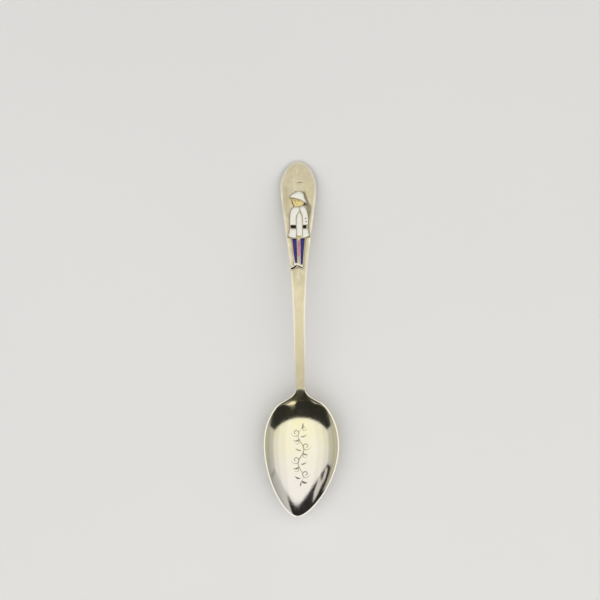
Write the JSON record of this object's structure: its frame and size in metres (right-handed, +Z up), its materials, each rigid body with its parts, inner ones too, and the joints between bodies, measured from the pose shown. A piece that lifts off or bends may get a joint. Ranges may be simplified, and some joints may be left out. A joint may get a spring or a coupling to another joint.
{
  "type": "souvenir spoon",
  "caption": "Silver souvenir teaspoon with an egg-shaped bowl, a slim stem and a flared handle that carries an enamelled figure in uniform.",
  "frame": {"origin": "on the table under the middle of the spoon's length, spoon lying right way up", "axes": "+Y from the bowl's tip to the handle's end, +X to the right seen from above with the handle's end away, +Z up out of the bowl's hollow"},
  "size_m": [0.0296, 0.14, 0.0147],
  "materials": {
    "silver": "polished",
    "white_enamel": "gloss",
    "flesh_enamel": "gloss",
    "black_enamel": "gloss",
    "blue_enamel": "gloss",
    "red_enamel": "gloss",
    "brown_enamel": "gloss"
  },
  "bodies": {
    "root": {"spoon_body": "silver", "figure_plate": "silver", "helmet_enamel": "white_enamel", "face_enamel": "flesh_enamel", "hair_enamel": "black_enamel", "tunic_front_enamel": "white_enamel", "tunic_back_enamel": "white_enamel", "sleeve_enamel": "white_enamel", "belt_front_enamel": "black_enamel", "belt_back_enamel": "black_enamel", "skirt_front_enamel": "white_enamel", "skirt_back_enamel": "white_enamel", "hand_enamel": "flesh_enamel", "trouser_front_enamel": "blue_enamel", "trouser_back_enamel": "blue_enamel", "trouser_stripe_enamel": "red_enamel", "shoe_front_enamel": "black_enamel", "shoe_back_enamel": "black_enamel", "tunic_button_upper": "brown_enamel", "tunic_button_lower": "brown_enamel"}
  },
  "joints": []
}
